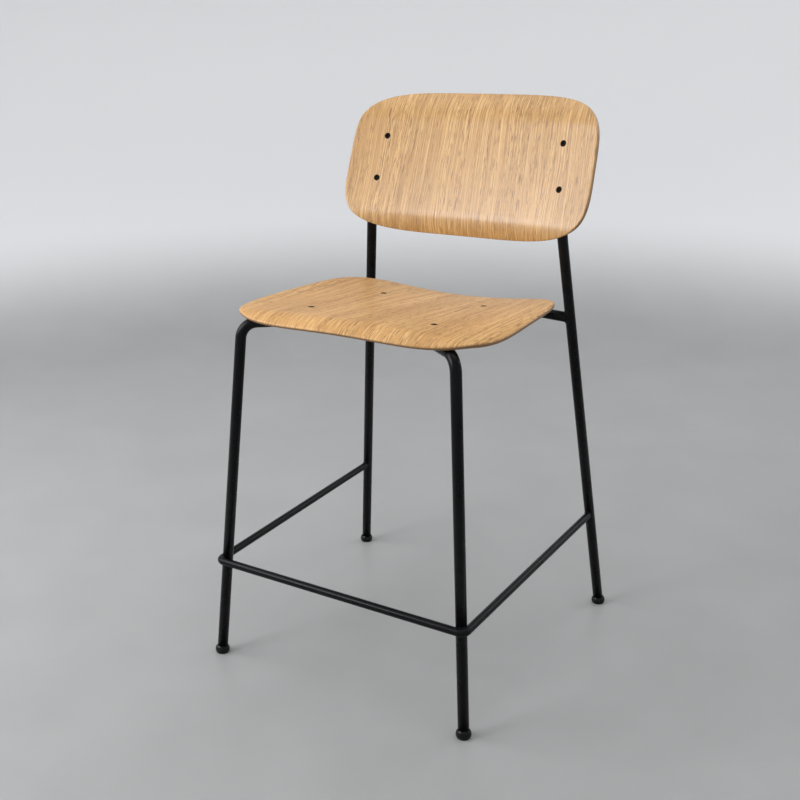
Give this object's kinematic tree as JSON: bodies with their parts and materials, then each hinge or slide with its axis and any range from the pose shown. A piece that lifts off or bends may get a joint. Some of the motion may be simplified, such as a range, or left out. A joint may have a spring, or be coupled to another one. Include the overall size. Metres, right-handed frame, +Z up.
{
  "type": "counter height bar stool with footrest",
  "caption": "Fixed counter-height bar stool: moulded oak plywood seat and backrest on a slim bent steel tube frame with a wrap-round footrest rod.",
  "frame": {"origin": "on the floor, under the middle of the stool's bounding box", "axes": "+Z up; -Y is the way the sitter faces; +X is to the right as seen by someone who stands in front of the stool"},
  "size_m": [0.5878, 0.5737, 0.9887],
  "materials": {
    "oak_veneer": "clear satin lacquer",
    "black_powder_coat": "fine satin powder coat",
    "black_plastic": "moulded, half matt",
    "black_screw": "black zinc, satin",
    "zinc_steel": "zinc plated"
  },
  "bodies": {
    "root": {"seat_shell": "oak_veneer", "backrest_shell": "oak_veneer", "side_tube_left": "black_powder_coat", "side_tube_right": "black_powder_coat", "rear_leg_left": "black_powder_coat", "rear_leg_right": "black_powder_coat", "footrest_rod": "black_powder_coat", "front_cross_plate": "black_powder_coat", "rear_cross_plate": "black_powder_coat", "seat_screw_front_left": "black_screw", "seat_screw_front_right": "black_screw", "seat_screw_rear_left": "black_screw", "seat_screw_rear_right": "black_screw", "back_screw_upper_left": "black_screw", "back_screw_upper_right": "black_screw", "back_screw_lower_left": "black_screw", "back_screw_lower_right": "black_screw", "seat_spacer_front_left": "black_plastic", "seat_spacer_front_right": "black_plastic", "seat_spacer_rear_left": "black_plastic", "seat_spacer_rear_right": "black_plastic", "back_spacer_upper_left": "black_plastic", "back_spacer_upper_right": "black_plastic", "back_spacer_lower_left": "black_plastic", "back_spacer_lower_right": "black_plastic", "foot_glide_front_left": "black_plastic", "foot_glide_front_right": "black_plastic", "foot_glide_rear_left": "black_plastic", "foot_glide_rear_right": "black_plastic", "upright_cap_left": "black_plastic", "upright_cap_right": "black_plastic", "seat_insert_front_left": "zinc_steel", "seat_insert_front_right": "zinc_steel", "seat_insert_rear_left": "zinc_steel", "seat_insert_rear_right": "zinc_steel", "back_insert_upper_left": "zinc_steel", "back_insert_upper_right": "zinc_steel", "back_insert_lower_left": "zinc_steel", "back_insert_lower_right": "zinc_steel"}
  },
  "joints": []
}
